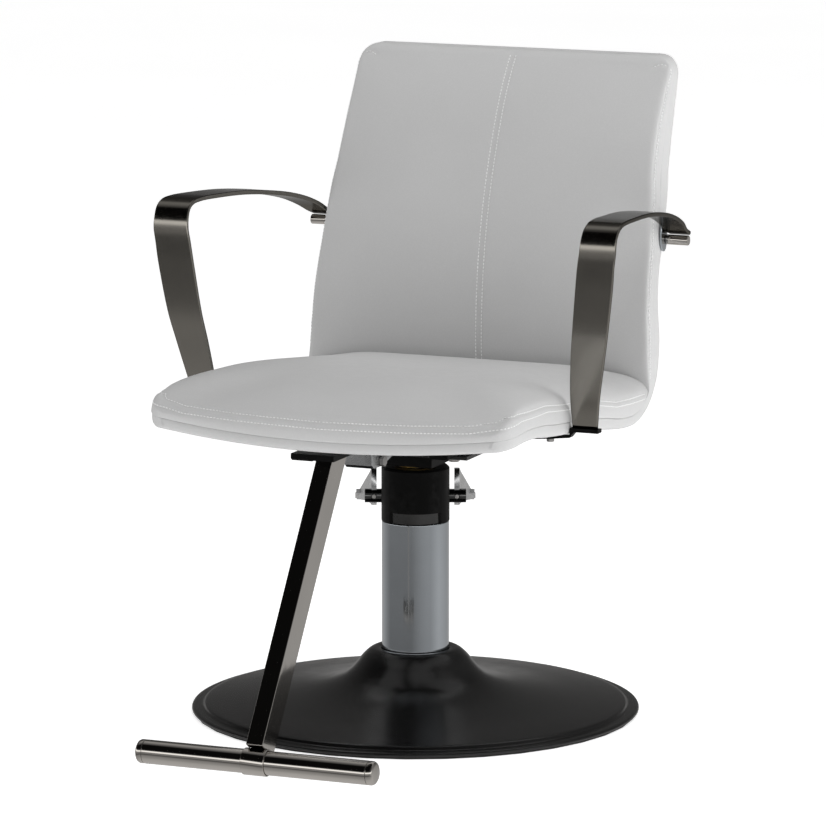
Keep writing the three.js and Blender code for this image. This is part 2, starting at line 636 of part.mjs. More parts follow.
// ---------------------------------------------------------------- footrest
function makeFootrest() {
  // The strut leans forward, so it is made upright at the origin and then turned and moved.
  const lean = THREE.MathUtils.degToRad(STRUT_LEAN);
  const section = new THREE.Shape();
  const half = STRUT_WIDTH / 2;
  const deep = STRUT_DEPTH / 2;
  section.moveTo(-half, -deep);
  section.lineTo(half, -deep);
  section.lineTo(half, deep);
  section.lineTo(-half, deep);
  const hole = new THREE.Path();
  const innerHalf = half - STRUT_WALL;
  const innerDeep = deep - STRUT_WALL;
  hole.moveTo(-innerHalf, -innerDeep);
  hole.lineTo(-innerHalf, innerDeep);
  hole.lineTo(innerHalf, innerDeep);
  hole.lineTo(innerHalf, -innerDeep);
  section.holes.push(hole);
  const strut = new THREE.ExtrudeGeometry(section, { depth: 450, bevelEnabled: false });
  strut.rotateX(-lean).translate(0, TBAR_Y, TBAR_Z);
  const above = box(-100, 100, -500, 100, BRACKET_BOTTOM - GAP, 600);
  const round = cylinderX(TBAR_RADIUS + 2.2, -100, 100, 32).translate(0, TBAR_Y, TBAR_Z);
  const end = new THREE.BoxGeometry(60, 80, 40).translate(0, 0, -5);
  end.rotateX(-lean).translate(0, TBAR_Y, TBAR_Z);
  place("footrest_strut", cut(strut, above, round, end), darkNickel);

  const bar = cylinderX(TBAR_RADIUS, -TBAR_HALF, TBAR_HALF, 28);
  place("footrest_bar", bar.translate(0, TBAR_Y, TBAR_Z), darkNickel);
  const collar = cut(cylinderX(TBAR_RADIUS + 1.9, -16, 16, 28),
    cylinderX(TBAR_RADIUS + GAP, -20, 20, 28));
  place("footrest_collar", collar.translate(0, TBAR_Y, TBAR_Z), darkNickel);
  for (const [name, side] of [["footrest_cap_left", 1], ["footrest_cap_right", -1]]) {
    const cap = turned([
      [0, 0], [TBAR_RADIUS, 0], [TBAR_RADIUS, 5], [TBAR_RADIUS - 1.5, 8], [TBAR_RADIUS - 5, 10],
      [0, 10.5],
    ], 28);
    cap.rotateY((side * Math.PI) / 2).translate(side * (TBAR_HALF + GAP), TBAR_Y, TBAR_Z);
    place(name, cap, darkNickel);
  }
}

makeBase();
makePump();
makeLever();
makeRam();
makeFrame();
makeShell();
makeSeat();
makeBack();
makeArms();
makeFootrest();

export default chair;
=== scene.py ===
# The looks of a hydraulic styling chair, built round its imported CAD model.
import math

import bmesh
import bpy
import numpy as np
from mathutils import Matrix, Vector
from mathutils.bvhtree import BVHTree


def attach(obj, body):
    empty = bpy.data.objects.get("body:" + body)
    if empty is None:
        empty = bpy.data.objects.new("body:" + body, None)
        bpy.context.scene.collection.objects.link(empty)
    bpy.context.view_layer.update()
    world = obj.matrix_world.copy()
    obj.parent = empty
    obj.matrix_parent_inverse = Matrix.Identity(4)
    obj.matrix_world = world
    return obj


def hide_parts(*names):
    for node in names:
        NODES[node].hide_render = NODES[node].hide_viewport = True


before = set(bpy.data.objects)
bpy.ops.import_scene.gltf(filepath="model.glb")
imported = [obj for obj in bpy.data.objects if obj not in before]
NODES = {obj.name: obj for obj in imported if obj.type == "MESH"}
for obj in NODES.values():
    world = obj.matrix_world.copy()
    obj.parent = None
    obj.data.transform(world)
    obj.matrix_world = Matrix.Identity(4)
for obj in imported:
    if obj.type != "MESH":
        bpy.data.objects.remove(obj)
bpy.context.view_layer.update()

MM = 0.001

# ---------------------------------------------------------------- driving dimensions, in mm
BASE_RADIUS = 300
HUB_TOP = 85.3
TUBE_RADIUS = 45
TUBE_BOTTOM = 38.4
TUBE_TOP = 258.7

SHELL_LENGTH = 960            # along the bent shell, from its front to its top
SEAT_HALF = 250
FRONT_HALF = 257
FRONT_BOW = 25
CORNER_RADIUS = 27
SEAT_FRONT = -300             # y of the seat's front corners
SEAT_REAR = 228
BACK_BOTTOM = 430
BACK_TOP = 853
BACK_SIDE_DROP = 24           # how much lower the back's bottom corners are than its middle
PRESSED_IN = -0.3             # gap between a cushion's sewn edge and the shell
BACK_EDGE_GAP = 0.5           # the same gap at the sides of the back
OVER_BOARD = 9.8              # from the shell to a cushion where a board lies between them
UNDERCUT = 30                 # how much further the seat's top reaches than its underside

# Radii of the edges of the pads, and how square they are: a power of 2 is round.
SHELL_EDGE = 5
SEAT_SIDE_EDGE = 10
BACK_SIDE_EDGE = 12
END_EDGE = 9
SHELL_POWERS = (2.3, 9)       # the underside, and the rim that the cushions lie on
CUSHION_POWERS = (12, 2.4)    # the side against the shell, and the soft side

# The stuffing: a stiff cover, so that the cushions come out taut.
PRESSURE = 4
STIFFNESS = 40
BENDING = 20
SHRINK = 0.004
STUFFING_STEPS = 20
EVENING_ROUNDS = 24
FADING_ROUNDS = 4
HELD_DEPTH = 10               # points this near the shell stay where they are
SEAT_PUFF = 8                 # the furthest that a point of the cushion moves
BACK_PUFF = 6

# Sewn lines: the depth of the groove and its width.
SEAT_UPPER_SEAM = (1.3, 3.2)
SEAT_LOWER_SEAM = (0.9, 2.8)
BACK_CENTRE_SEAM = (1.5, 4.5)
BACK_SIDE_SEAM = (1.4, 3.0)
CENTRE_ROW = 4.2              # from the middle of the back to each of its two rows
SHELL_ROW_INSET = 15

BAND = 6                      # thickness of the arm bands
BAND_EDGE = 1.9               # radius of their edges

# Side edges of the shell, as [y, z], from the front of the seat to the top of the back.
SHELL_OUTSIDE = [
    (-300, 418), (-272, 421), (-235, 421.5), (-183, 418), (-131, 410.5), (-60, 403), (42, 391),
    (130, 378), (185, 378.5), (230, 396.5), (258, 427), (269, 470), (271, 520), (279, 562),
    (300, 605), (329, 663), (352, 715), (370, 762), (384, 805), (395, 853),
]
SHELL_INSIDE = [
    (-300, 433), (-272, 436), (-235, 436.5), (-183, 433), (-131, 426), (-60, 418.5), (42, 406),
    (110, 394.5), (165, 391), (204, 403), (226, 432), (239, 470), (243, 520), (252, 562),
    (266, 605), (290, 663), (311, 715), (332, 762), (352, 805), (373, 853),
]
# How much lower the middle of the shell lies than its side edges, out along the normal.
OUTSIDE_DISH = [(0, 15.5), (0.1, 14), (0.3, 14), (0.5, 6), (0.62, 12), (0.72, 3), (0.8, 0)]
INSIDE_DISH = [(0, 15.5), (0.1, 9), (0.3, 8), (0.5, 3), (0.62, 8), (0.72, 2), (0.8, 0)]
HALF_WIDTHS = [
    (430, SEAT_HALF), (480, 249), (520, 246), (576, 243), (620, 241), (670, 237), (700, 233),
    (740, 231), (780, 230),
]
SEAT_EDGE = [
    (-300, 456), (-272, 460.5), (-235, 463), (-190, 461.5), (-100, 452), (12, 439), (98, 425),
    (152, 421), (228, 421),
]
SEAT_MIDDLE = [
    (-300, 443), (-290, 455), (-266, 465), (-225, 472), (-111, 474), (0, 463), (86, 453),
    (168, 444), (228, 437),
]
BACK_EDGE = [
    (441, 217), (480, 219), (520, 222), (560, 231), (605, 246), (663, 262), (715, 281),
    (762, 303), (805, 329), (853, 360),
]
BACK_MIDDLE = [
    (441, 226), (500, 226), (560, 229), (620, 239), (680, 257), (740, 284), (800, 316),
    (853, 353),
]
# The outer face of an arm band: y and z of the path, x of its middle, and its width.
BAND_PATH = [
    (-77.5, 411, 270.3, 34.3), (-91, 456, 275, 41), (-101, 498, 281.3, 46),
    (-110, 540, 288.2, 49), (-117, 600, 296, 51), (-119.8, 632, 299.5, 50.5),
    (-120.4, 650, 302, 50), (-118, 665, 302.5, 49), (-110.5, 678, 303, 48.5),
    (-97.5, 685.3, 303, 48), (-80, 688, 302, 48), (-40, 687.5, 299, 47), (51, 682, 290, 44),
    (145, 670, 280, 40), (210, 657, 273, 37), (255, 643, 268, 36), (284, 630, 264, 33),
    (303, 623.5, 263, 31),
]
# Heights of the two rows of stitching round the seat: along the side by y, and along the
# front by the distance from the middle.
STITCH_SIDE = [
    (-273, 459), (-259, 460), (-164, 456), (-99, 447), (12, 435), (98, 419), (152, 414.5),
    (222, 412),
]
STITCH_FRONT = [(0, 443), (120, 445), (200, 448), (230, 453)]
STITCH_GAP_SIDE = [(-273, 10), (-100, 8), (0, 7), (222, 7)]
STITCH_GAP = 9.5


# ---------------------------------------------------------------- small geometry helpers
def at(table, t):
    """Straight-line interpolation in a short list of (t, value)."""
    return float(np.interp(t, [row[0] for row in table], [row[1] for row in table]))


def smooth_line(points, per=10):
    """A Catmull-Rom curve through the points, with so many steps from one to the next."""
    p = np.array(points, float)
    p = np.vstack([2 * p[0] - p[1], p, 2 * p[-1] - p[-2]])
    out = []
    for i in range(1, len(p) - 2):
        for k in range(per):
            t = k / per
            a = 2 * p[i]
            b = (p[i + 1] - p[i - 1]) * t
            c = (2 * p[i - 1] - 5 * p[i] + 4 * p[i + 1] - p[i + 2]) * t * t
            d = (3 * p[i] - p[i - 1] - 3 * p[i + 1] + p[i + 2]) * t ** 3
            out.append((a + b + c + d) / 2)
    out.append(p[-2])
    return np.array(out)


def smooth_table(table):
    return [tuple(row) for row in smooth_line(table)]


class Line:
    """A plane curve that is read by the share of its length, from 0 to 1."""

    def __init__(self, points):
        self.points = smooth_line(points, 12)
        steps = np.linalg.norm(np.diff(self.points, axis=0), axis=1)
        self.share = np.concatenate([[0], np.cumsum(steps)])
        self.share /= self.share[-1]

    def point(self, v):
        return np.array([np.interp(v, self.share, self.points[:, k]) for k in (0, 1)])

    def tangent(self, v):
        step = self.point(min(1, v + 0.004)) - self.point(max(0, v - 0.004))
        return step / np.linalg.norm(step)


def seat_half(y):
    return at([(-300, FRONT_HALF), (-60, SEAT_HALF)], y)


def bow(y):
    return FRONT_BOW * min(1, max(0, (-60 - y) / 240)) ** 1.5


def rounded(half, inside):
    """A half width, taken in at a rounded corner that far inside the end."""
    if inside >= CORNER_RADIUS:
        return half
    short = CORNER_RADIUS - max(0, inside)
    return half - CORNER_RADIUS + math.sqrt(CORNER_RADIUS ** 2 - short ** 2)


# ---------------------------------------------------------------- making pieces
def piece(name, verts, faces, body, material, uvs=None):
    """A smooth mesh piece, from points in mm, that rides on a body."""
    mesh = bpy.data.meshes.new(name)
    mesh.from_pydata([tuple(np.array(v) * MM) for v in verts], [], faces)
    mesh.validate()
    mesh.shade_smooth()
    if uvs is not None:
        layer = mesh.uv_layers.new(name="along")
        for loop in mesh.loops:
            layer.data[loop.index].uv = uvs[loop.vertex_index]
    return mounted(bpy.data.objects.new(name, mesh), body, material)


def mounted(obj, body, material):
    """Puts a piece in the scene, on its body, with its material."""
    bpy.context.scene.collection.objects.link(obj)
    obj.data.materials.clear()
    obj.data.materials.append(material)
    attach(obj, body)
    return obj


def loft(rings, caps=True):
    """Points and faces of a skin over closed rings that have the same number of points."""
    count = len(rings[0])
    verts = [tuple(point) for ring in rings for point in ring]
    faces = []
    for i in range(len(rings) - 1):
        for j in range(count):
            k = (j + 1) % count
            faces.append((i * count + j, i * count + k, (i + 1) * count + k, (i + 1) * count + j))
    if caps:
        last = (len(rings) - 1) * count
        faces.append(tuple(reversed(range(count))))
        faces.append(tuple(range(last, last + count)))
    return verts, faces


def turned(profile, segments=128, turn=0.0):
    """A closed section of (radius, z) turned about Z."""
    rings = []
    for k in range(segments):
        a = turn + 2 * math.pi * k / segments
        rings.append([(r * math.cos(a), r * math.sin(a), z) for r, z in profile])
    rings.append(rings[0])
    verts, faces = loft(rings, caps=False)
    count = len(profile)
    total = segments * count
    faces = [tuple(i % total for i in face) for face in faces]
    return verts[:total], faces


def fix_normals(obj):
    """Joins doubled points, drops the collapsed faces and turns the rest outward."""
    work = bmesh.new()
    work.from_mesh(obj.data)
    bmesh.ops.remove_doubles(work, verts=work.verts, dist=2e-6)
    bmesh.ops.dissolve_degenerate(work, edges=work.edges, dist=1e-6)
    bmesh.ops.recalc_face_normals(work, faces=work.faces)
    work.to_mesh(obj.data)
    work.free()
    obj.data.shade_smooth()


def pad(near, far, length, half_at, side_edge, end_edge, powers, across=26, step=7.0):
    """A pad between two surfaces, each a function of x and s, with full, rounded edges.
    s runs from 0 to length, and half_at(s) is the half width there. A low power rounds the
    edges of that surface well, and a high one keeps them nearly square."""
    arc = [math.radians(a) for a in (0, 18, 36, 54, 72, 90)]
    ends = [end_edge * (1 - math.cos(a)) for a in arc]
    corner = [d for d in (CORNER_RADIUS * k / 8 for k in range(1, 9)) if d > end_edge + 1]
    lead = ends + corner
    inner = np.linspace(lead[-1], length - lead[-1], int((length - 2 * lead[-1]) / step) + 2)
    stations = lead + list(inner[1:-1]) + [length - d for d in reversed(lead)]
    rings = []
    for s in stations:
        inside = min(s, length - s)
        gone = max(0.0, 1 - inside / end_edge)
        thick = [0.5 * (1 - gone ** p) ** (1 / p) for p in powers]
        flat = half_at(s) - side_edge
        edge = []
        for deg in range(-75, 90, 15):
            far_side = deg > 0
            p = powers[far_side]
            c = math.cos(math.radians(deg)) ** (2 / p)
            w = math.copysign(abs(math.sin(math.radians(deg))) ** (2 / p), deg)
            edge.append((flat + side_edge * c, 0.5 + thick[far_side] * w))
        row = [(x, 0.5 - thick[0]) for x in np.linspace(-flat, flat, across)]
        row += edge
        row += [(x, 0.5 + thick[1]) for x in np.linspace(flat, -flat, across)]
        row += [(-x, w) for x, w in reversed(edge)]
        ring = []
        for x, w in row:
            a = np.array(near(x, s))
            b = np.array(far(x, s))
            ring.append(tuple(a + (b - a) * w))
        rings.append(ring)
    return loft(rings)


# ---------------------------------------------------------------- materials
def add(tree, kind, inputs=None, **settings):
    """A node with its settings, and with a value or a link for each named input."""
    node = tree.nodes.new(kind)
    for key, value in settings.items():
        setattr(node, key, value)
    for key, value in (inputs or {}).items():
        if isinstance(value, bpy.types.NodeSocket):
            tree.links.new(value, node.inputs[key])
        else:
            node.inputs[key].default_value = value
    return node


def noise(tree, where, scale, detail=3.0, rough=0.5):
    settings = {"Vector": where, "Scale": scale, "Detail": detail, "Roughness": rough}
    return add(tree, "ShaderNodeTexNoise", settings).outputs[0]


def spread(tree, value, low, high, start=0.3, stop=0.7):
    """Maps start..stop to low..high."""
    settings = {"Value": value, "From Min": start, "From Max": stop, "To Min": low,
                "To Max": high}
    return add(tree, "ShaderNodeMapRange", settings).outputs[0]


def mixed(tree, share, first, second):
    """A colour between two colours."""
    node = tree.nodes.new("ShaderNodeMix")
    node.data_type = "RGBA"
    for socket, value in ((node.inputs[0], share), (node.inputs[6], first),
                          (node.inputs[7], second)):
        if isinstance(value, bpy.types.NodeSocket):
            tree.links.new(value, socket)
        else:
            socket.default_value = value
    return node.outputs[2]


def grey(value, warm=0.0):
    return (value * (1 + warm), value, value * (1 - warm), 1)


def finish(name, base, roughness, metallic=0.0, mottle=0.05, swing=0.05, grain=(0, 0),
           streaks=None, wear=None, specular=0.5, rim=1.0):
    """A surface with blotches, uneven gloss, a fine grain, brushed streaks and worn edges.
    grain is the number of grains in a metre and their height in mm, and rim is how bright
    the surface stays when it is seen at a low angle."""
    mat = bpy.data.materials.new(name)
    mat.use_nodes = True
    tree = mat.node_tree
    shader = tree.nodes["Principled BSDF"]
    coords = add(tree, "ShaderNodeTexCoord")
    where = coords.outputs["Object"]
    blotch = noise(tree, where, 14, 4)
    value = spread(tree, blotch, 1 - mottle, 1 + mottle)
    colour = add(tree, "ShaderNodeHueSaturation", {"Color": base, "Value": value}).outputs[0]
    if wear:
        edge = add(tree, "ShaderNodeNewGeometry").outputs["Pointiness"]
        rubbed = spread(tree, noise(tree, where, 120, 3), 0.0, 1.0, 0.35, 0.65)
        share = add(tree, "ShaderNodeMath", {0: spread(tree, edge, 0, wear[1], 0.53, 0.62),
                                             1: rubbed}, operation="MULTIPLY").outputs[0]
        colour = mixed(tree, share, colour, wear[0])
    tree.links.new(colour, shader.inputs["Base Color"])
    gloss = noise(tree, where, 45, 4, 0.6)
    heights = []
    if streaks:
        along = coords.outputs["UV"] if streaks["by_uv"] else where
        scaled = add(tree, "ShaderNodeMapping", {"Vector": along, "Scale": streaks["scale"]})
        lines = noise(tree, scaled.outputs[0], 1, 3, 0.6)
        heights.append((lines, streaks["height"]))
        gloss = add(tree, "ShaderNodeMath", {0: gloss, 1: lines}, operation="MULTIPLY_ADD")
        gloss.inputs[2].default_value = 0.25
        gloss = gloss.outputs[0]
    if grain[0]:
        heights.append((noise(tree, where, grain[0], 3), grain[1]))
    tree.links.new(spread(tree, gloss, roughness - swing, roughness + swing),
                   shader.inputs["Roughness"])
    normal = None
    for height, size in heights:
        settings = {"Height": height, "Distance": size * MM, "Strength": 1.0}
        if normal is not None:
            settings["Normal"] = normal
        normal = add(tree, "ShaderNodeBump", settings).outputs[0]
    if normal is not None:
        tree.links.new(normal, shader.inputs["Normal"])
    shader.inputs["Metallic"].default_value = metallic
    shader.inputs["Specular IOR Level"].default_value = specular
    shader.inputs["Specular Tint"].default_value = grey(rim)
    return mat


def leather(name, base, roughness=0.48):
    """Fine-grained upholstery leather: pebbles, pores and a slow change of tone."""
    mat = bpy.data.materials.new(name)
    mat.use_nodes = True
    tree = mat.node_tree
    shader = tree.nodes["Principled BSDF"]
    where = add(tree, "ShaderNodeTexCoord").outputs["Object"]
    bend = spread(tree, noise(tree, where, 260, 2), -0.0006, 0.0006)
    warped = add(tree, "ShaderNodeVectorMath", {0: where, 1: bend}, operation="ADD").outputs[0]
    cells = add(tree, "ShaderNodeTexVoronoi", {"Vector": warped, "Scale": 620.0},
                feature="SMOOTH_F1").outputs["Distance"]
    pores = noise(tree, where, 1500, 2)
    creases = noise(tree, where, 70, 5, 0.62)
    slow = noise(tree, where, 5, 3)
    tone = spread(tree, slow, 0.975, 1.02)
    speck = spread(tree, cells, 0.985, 1.03, 0.2, 0.9)
    value = add(tree, "ShaderNodeMath", {0: tone, 1: speck}, operation="MULTIPLY").outputs[0]
    colour = add(tree, "ShaderNodeHueSaturation", {"Color": base, "Value": value}).outputs[0]
    tree.links.new(colour, shader.inputs["Base Color"])
    tree.links.new(spread(tree, creases, roughness - 0.07, roughness + 0.07),
                   shader.inputs["Roughness"])
    normal = None
    for height, size, strength in ((creases, 0.35, 0.35), (cells, 0.16, 0.55),
                                   (pores, 0.05, 0.5)):
        settings = {"Height": height, "Distance": size * MM, "Strength": strength}
        if normal is not None:
            settings["Normal"] = normal
        normal = add(tree, "ShaderNodeBump", settings).outputs[0]
    tree.links.new(normal, shader.inputs["Normal"])
    shader.inputs["Sheen Weight"].default_value = 0.08
    shader.inputs["Specular IOR Level"].default_value = 0.42
    return mat


def wood(name):
    """Plywood, with its grain along y."""
    mat = bpy.data.materials.new(name)
    mat.use_nodes = True
    tree = mat.node_tree
    shader = tree.nodes["Principled BSDF"]
    where = add(tree, "ShaderNodeTexCoord").outputs["Object"]
    scaled = add(tree, "ShaderNodeMapping", {"Vector": where, "Scale": (60, 6, 60)}).outputs[0]
    lines = noise(tree, scaled, 3, 6, 0.65)
    colour = mixed(tree, spread(tree, lines, 0, 1), (0.30, 0.17, 0.07, 1), (0.52, 0.34, 0.17, 1))
    tree.links.new(colour, shader.inputs["Base Color"])
    bump = add(tree, "ShaderNodeBump", {"Height": lines, "Distance": 0.2 * MM})
    tree.links.new(bump.outputs[0], shader.inputs["Normal"])
    shader.inputs["Roughness"].default_value = 0.7
    return mat


BRUSHED = {"by_uv": True, "scale": (2600, 7, 1), "height": 0.0022}
DRAWN = {"by_uv": False, "scale": (420, 420, 14), "height": 0.004}

LEATHER = leather("light_grey_leather", grey(0.60))
THREAD = finish("grey_thread", grey(0.86), 0.7, mottle=0.08, grain=(2600, 0.08))
SATIN_BLACK = finish("satin_black_paint", grey(0.006), 0.22, mottle=0.05, swing=0.02,
                     grain=(260, 0.004), wear=(grey(0.05), 0.25), specular=0.45)
BLACK_CASTING = finish("black_casting", grey(0.003), 0.42, mottle=0.2, swing=0.06,
                       grain=(520, 0.012), wear=(grey(0.03), 0.15), specular=0.06)
DARK_STEEL = finish("dark_steel", grey(0.07), 0.3, 1.0, mottle=0.15, swing=0.08,
                    grain=(700, 0.01))
BLACK_CHROME = finish("black_chrome", grey(0.10), 0.12, 1.0, mottle=0.1, swing=0.04,
                      grain=(700, 0.004))
CHROME = finish("chrome_plate", (0.43, 0.46, 0.49, 1), 0.09, 1.0, mottle=0.04, swing=0.05,
                streaks=DRAWN)
STEEL = finish("zinc_steel", grey(0.46, 0.02), 0.34, 1.0, mottle=0.12, swing=0.09,
               grain=(700, 0.02), wear=(grey(0.62), 0.5))
NICKEL = finish("dark_nickel", (0.47, 0.45, 0.425, 1), 0.075, 1.0, mottle=0.04, swing=0.025,
                grain=(60, 0.006))
BRUSHED_NICKEL = finish("brushed_dark_nickel", (0.25, 0.238, 0.215, 1), 0.17, 1.0, mottle=0.03,
                        swing=0.03, streaks=BRUSHED, rim=0.35)
CAST_IRON = finish("cast_iron", grey(0.045), 0.75, 0.4, mottle=0.25, grain=(420, 0.2))
ALUMINIUM = finish("cast_aluminium", (0.46, 0.47, 0.48, 1), 0.24, 1.0, mottle=0.10, swing=0.06,
                   grain=(380, 0.012), wear=(grey(0.62), 0.4))
RUBBER = finish("rubber", grey(0.016), 0.82, mottle=0.15, grain=(900, 0.04))
BRASS = finish("brass", (0.55, 0.37, 0.12, 1), 0.3, 1.0, mottle=0.1, grain=(500, 0.01))
PLYWOOD = wood("plywood")

# ---------------------------------------------------------------- CAD nodes that stay
# Each group: the start of the node names, the material, and the radius put on the edges.
KEPT = [
    (("floor_ring", "ram_seal", "piston_seal"), RUBBER, 0.3),
    (("base_ballast", "pump_flange"), CAST_IRON, 0.6),
    (("tube_clamp_ring", "seat_plate"), DARK_STEEL, 0.6),
    (("lever_shaft",), BLACK_CHROME, 0.6),
    (("pump_bolt", "pump_cylinder", "lever_screw",
      "frame_bolt", "beam_bolt", "beam_nut", "retaining", "arm_screw", "plunger_spring",
      "pump_plunger"), STEEL, 0.4),
    (("gland_ring", "thrust_washer"), BRASS, 0.3),
    (("ram_rod", "arm_plate"), CHROME, 0.9),
    (("arm_rod",), NICKEL, 1.2),
    (("pump_head", "seat_rail", "seat_hub"), BLACK_CASTING, 1.2),
    (("footrest_bracket",), BLACK_CASTING, 1.8),
    (("arm_foot",), BLACK_CASTING, 0.8),
    (("pedal_lever",), ALUMINIUM, 1.9),
    (("front_beam",), ALUMINIUM, 1.6),
    (("footrest_strut",), NICKEL, 1.3),
    (("footrest_bar", "footrest_collar", "footrest_cap"), NICKEL, 0.7),
    (("seat_board", "back_board"), PLYWOOD, 0.6),
]


def dress(node, material, radius):
    """Gives a CAD node its material and small round edges, and leaves its points alone."""
    obj = NODES[node]
    mesh = obj.data
    for name in ("custom_normal", "sharp_edge", "sharp_face"):
        if name in mesh.attributes:
            mesh.attributes.remove(mesh.attributes[name])
    mesh.shade_smooth()
    mesh.materials.clear()
    mesh.materials.append(material)
    weld = obj.modifiers.new("weld", "WELD")
    weld.merge_threshold = 1e-5
    bevel = obj.modifiers.new("edges", "BEVEL")
    bevel.width = radius * MM
    bevel.segments = 3
    bevel.limit_method = "ANGLE"
    bevel.angle_limit = math.radians(32)
    even = obj.modifiers.new("shading", "WEIGHTED_NORMAL")
    even.weight = 80


for starts, kept_material, kept_radius in KEPT:
    for node_name in NODES:
        if node_name.startswith(starts):
            dress(node_name, kept_material, kept_radius)


# ---------------------------------------------------------------- base and pump cover
def make_base():
    """The spun base cover: one smooth dished disc that rises to the pump."""
    slope = [(280, 13.8), (250, 17.2), (200, 22.6), (150, 30), (120, 37), (100, 45), (88, 54),
             (79, 64), (72, 73), (65, 80), (60, 83.6), (56, HUB_TOP)]
    rim = [(BASE_RADIUS - 1, 3.3), (BASE_RADIUS, 4), (BASE_RADIUS, 5.8), (299.3, 7.1),
           (297.6, 7.9), (294, 8.2), (287.5, 8.4), (285, 8.9), (283.9, 10.2), (283.2, 12.2),
           (282.2, 13.2)]
    lip = [(48, HUB_TOP), (46.2, HUB_TOP - 0.5), (45.5, HUB_TOP - 1.8)]
    under = [(45.5, 83), (55, 82), (63, 77.6), (77, 62), (98.6, 42.8), (119, 34.4), (149.6, 27.4),
             (199.6, 20), (249.6, 14.6), (279, 11), (281.6, 6.6), (297.4, 5.6), (297.4, 3.3)]
    profile = rim + [tuple(p) for p in smooth_line(slope, 5)] + lip + under
    verts, faces = turned(profile, 160)
    cover = piece("base_cover_skin", verts, faces, "base", SATIN_BLACK)
    fix_normals(cover)
    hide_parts("base_cover")


def make_tube():
    """The chrome tube round the pump, with its rolled top edge."""
    r = TUBE_RADIUS
    profile = [(43, TUBE_BOTTOM), (r, TUBE_BOTTOM), (r, 90), (r, TUBE_TOP - 1.2),
               (r - 0.4, TUBE_TOP - 0.3), (r - 1.1, TUBE_TOP), (43, TUBE_TOP)]
    verts, faces = turned(profile, 128)
    tube = piece("pump_tube_skin", verts, faces, "base", CHROME)
    fix_normals(tube)
    even = tube.modifiers.new("shading", "WEIGHTED_NORMAL")
    even.weight = 80
    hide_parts("pump_cover_tube")


# ---------------------------------------------------------------- shell
def shell_surface(points, dishes):
    """One face of the shell as a function of x and s, and its half width at s."""
    line = Line(points)

    def surface(x, s):
        v = s / SHELL_LENGTH
        y, z = line.point(v)
        ty, tz = line.tangent(v)
        full = seat_half(y) if y < 0 else at(HALF_WIDTHS, z)
        middle = max(0.0, 1 - (x / full) ** 2)
        dish = at(dishes, v) * middle
        return (x, y + tz * dish - bow(y) * middle, z - ty * dish)

    def half(s):
        v = s / SHELL_LENGTH
        y, z = line.point(v)
        full = seat_half(y) if y < 0 else at(HALF_WIDTHS, z)
        return rounded(full, min(s, SHELL_LENGTH - s))

    return surface, half


OUTER, SHELL_HALF = shell_surface(SHELL_OUTSIDE, smooth_table(OUTSIDE_DISH))
INNER, _ = shell_surface(SHELL_INSIDE, smooth_table(INSIDE_DISH))


def make_shell():
    """The upholstered shell that the two cushions lie in."""
    verts, faces = pad(OUTER, INNER, SHELL_LENGTH, SHELL_HALF, SHELL_EDGE, SHELL_EDGE,
                       SHELL_POWERS, 30, 6.0)
    shell = piece("shell_upholstery", verts, faces, "seat", LEATHER)
    fix_normals(shell)
    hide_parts("seat_back_shell")
    return shell


def inside_tables():
    """The shell's inside again, as heights along y for the seat and as y along z for the back."""
    line = Line(SHELL_INSIDE)
    dishes = smooth_table(INSIDE_DISH)
    seat, back = [], []
    for k in range(161):
        v = k / 160
        y, z = line.point(v)
        if y < 210 and z < 450:
            seat.append((y, z, at(dishes, v)))
        if y > 195:
            back.append((z, y, at(dishes, v)))
    return seat, back


SEAT_INSIDE, BACK_INSIDE = inside_tables()


def inside_height(y, u):
    """Height of the shell's inside at y, with u from 0 in the middle to 1 at the side."""
    edge = at([(row[0], row[1]) for row in SEAT_INSIDE], y)
    return edge - at([(row[0], row[2]) for row in SEAT_INSIDE], y) * (1 - u * u)


def inside_depth(z, u):
    """How far back the shell's inside is at height z, with the same u."""
    edge = at([(row[0], row[1]) for row in BACK_INSIDE], z)
    return edge + at([(row[0], row[2]) for row in BACK_INSIDE], z) * (1 - u * u)


# ---------------------------------------------------------------- cushions
def evaluated(obj):
    """A new mesh with the object's modifiers applied."""
    graph = bpy.context.evaluated_depsgraph_get()
    graph.update()
    return bpy.data.meshes.new_from_object(obj.evaluated_get(graph))


def points_of(mesh):
    co = np.zeros(len(mesh.vertices) * 3, np.float32)
    mesh.vertices.foreach_get("co", co)
    return co.reshape(-1, 3).astype(float)


def set_points(mesh, co):
    mesh.vertices.foreach_set("co", co.astype(np.float32).ravel())
    mesh.update()


def swap_mesh(obj, mesh):
    old = obj.data
    obj.modifiers.clear()
    obj.data = mesh
    bpy.data.meshes.remove(old)


def evened(mesh, field, rounds):
    """A field over a mesh's points, each round averaged with the neighbouring points."""
    pairs = np.zeros(len(mesh.edges) * 2, int)
    mesh.edges.foreach_get("vertices", pairs)
    pairs = pairs.reshape(-1, 2)
    count = np.bincount(pairs.ravel(), minlength=len(field))[:, None]
    for _ in range(rounds):
        total = np.zeros_like(field)
        np.add.at(total, pairs[:, 0], field[pairs[:, 1]])
        np.add.at(total, pairs[:, 1], field[pairs[:, 0]])
        field = (field + total / np.maximum(count, 1)) / 2
    return field


